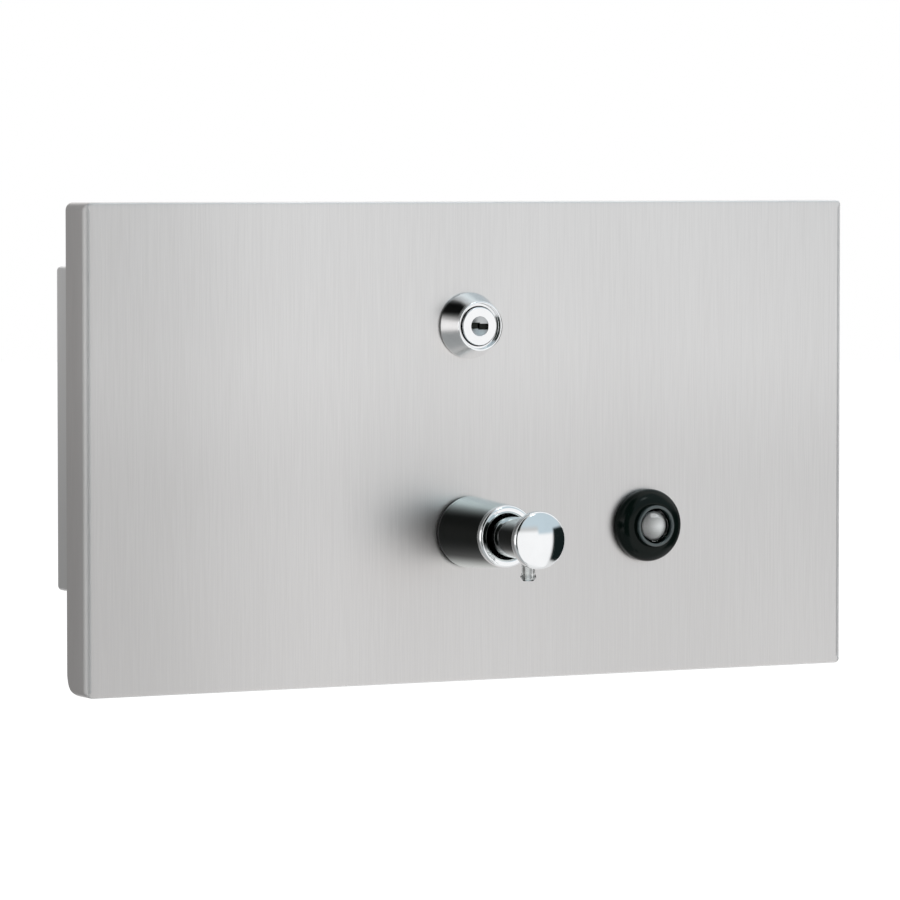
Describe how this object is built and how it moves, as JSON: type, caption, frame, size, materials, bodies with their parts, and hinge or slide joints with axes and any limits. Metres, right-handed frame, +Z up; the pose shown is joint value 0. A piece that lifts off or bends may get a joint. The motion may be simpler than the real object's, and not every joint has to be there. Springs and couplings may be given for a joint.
{
  "type": "recessed soap dispenser",
  "caption": "Wall-recessed liquid soap dispenser: satin steel panel that tilts out on a bottom hinge with tank, chrome push valve, sight glass and cam lock.",
  "frame": {"origin": "centre of the wall box's flat back face", "axes": "+X to the right seen from the front, along the panel's width; +Y into the wall, so the panel faces -Y; +Z up"},
  "size_m": [0.254, 0.135, 0.1421],
  "materials": {
    "satin_panel": "satin, vertical grain",
    "box_steel": "mill",
    "tank_steel": "satin",
    "plain_steel": "plain",
    "chrome": "polished",
    "brass_nut": "turned",
    "black_plastic": "gloss",
    "white_plastic": "moulded",
    "clear_plastic": "clear",
    "sight_lens": "frosted clear",
    "rubber_seal": "matt"
  },
  "bodies": {
    "wall": {"wall_box": "box_steel", "latch_keeper": "box_steel", "hinge_leaf_fixed": "box_steel", "hinge_pin": "plain_steel"},
    "panel": {"front_panel": "satin_panel", "hinge_leaf_panel": "box_steel", "lock_housing": "chrome", "lock_nut": "plain_steel", "tank_body": "tank_steel", "stud_left_lower": "plain_steel", "stud_nut_left_lower": "plain_steel", "stud_left_upper": "plain_steel", "stud_nut_left_upper": "plain_steel", "stud_right_lower": "plain_steel", "stud_nut_right_lower": "plain_steel", "stud_right_upper": "plain_steel", "stud_nut_right_upper": "plain_steel", "tank_lid": "tank_steel", "valve_gasket": "rubber_seal", "valve_sleeve": "chrome", "valve_body": "white_plastic", "tank_gasket": "rubber_seal", "valve_locknut": "brass_nut", "return_spring": "plain_steel", "inlet_seat": "white_plastic", "pickup_tube": "clear_plastic", "inlet_strainer": "white_plastic", "sight_bezel": "black_plastic", "sight_lens": "sight_lens", "sight_gasket": "rubber_seal", "sight_nut": "black_plastic"},
    "lock": {"lock_plug": "chrome", "lock_cam": "plain_steel", "cam_screw": "plain_steel"},
    "knob": {"push_knob": "chrome", "plunger": "chrome", "nozzle": "clear_plastic", "piston_seal": "rubber_seal"},
    "cap": {"filler_cap": "black_plastic", "cap_gasket": "rubber_seal"},
    "ball": {"check_ball": "plain_steel"}
  },
  "joints": [
    {"name": "panel_tilt", "type": "hinge", "parent": "wall", "child": "panel", "pos_m": [0, -0.0785, -0.06975], "axis": [1, 0, 0], "range_deg": [0, 35]},
    {"name": "lock_turn", "type": "hinge", "parent": "panel", "child": "lock", "pos_m": [-0.0029, -0.089, 0.03205], "axis": [0, 1, 0], "range_deg": [0, 90]},
    {"name": "knob_push", "type": "slide", "parent": "panel", "child": "knob", "axis": [0, 1, 0], "range_m": [0, 0.009], "stiffness_N_per_m": 500, "springref_m": -0.006, "deforming": ["return_spring"]},
    {"name": "cap_turn", "type": "hinge", "parent": "panel", "child": "cap", "pos_m": [0.045, -0.05025, 0.01809], "axis": [0, 0, 1], "range_deg": [0, 90]},
    {"name": "ball_lift", "type": "slide", "parent": "panel", "child": "ball", "axis": [0, -1, 0], "range_m": [0, 0.0015]}
  ]
}
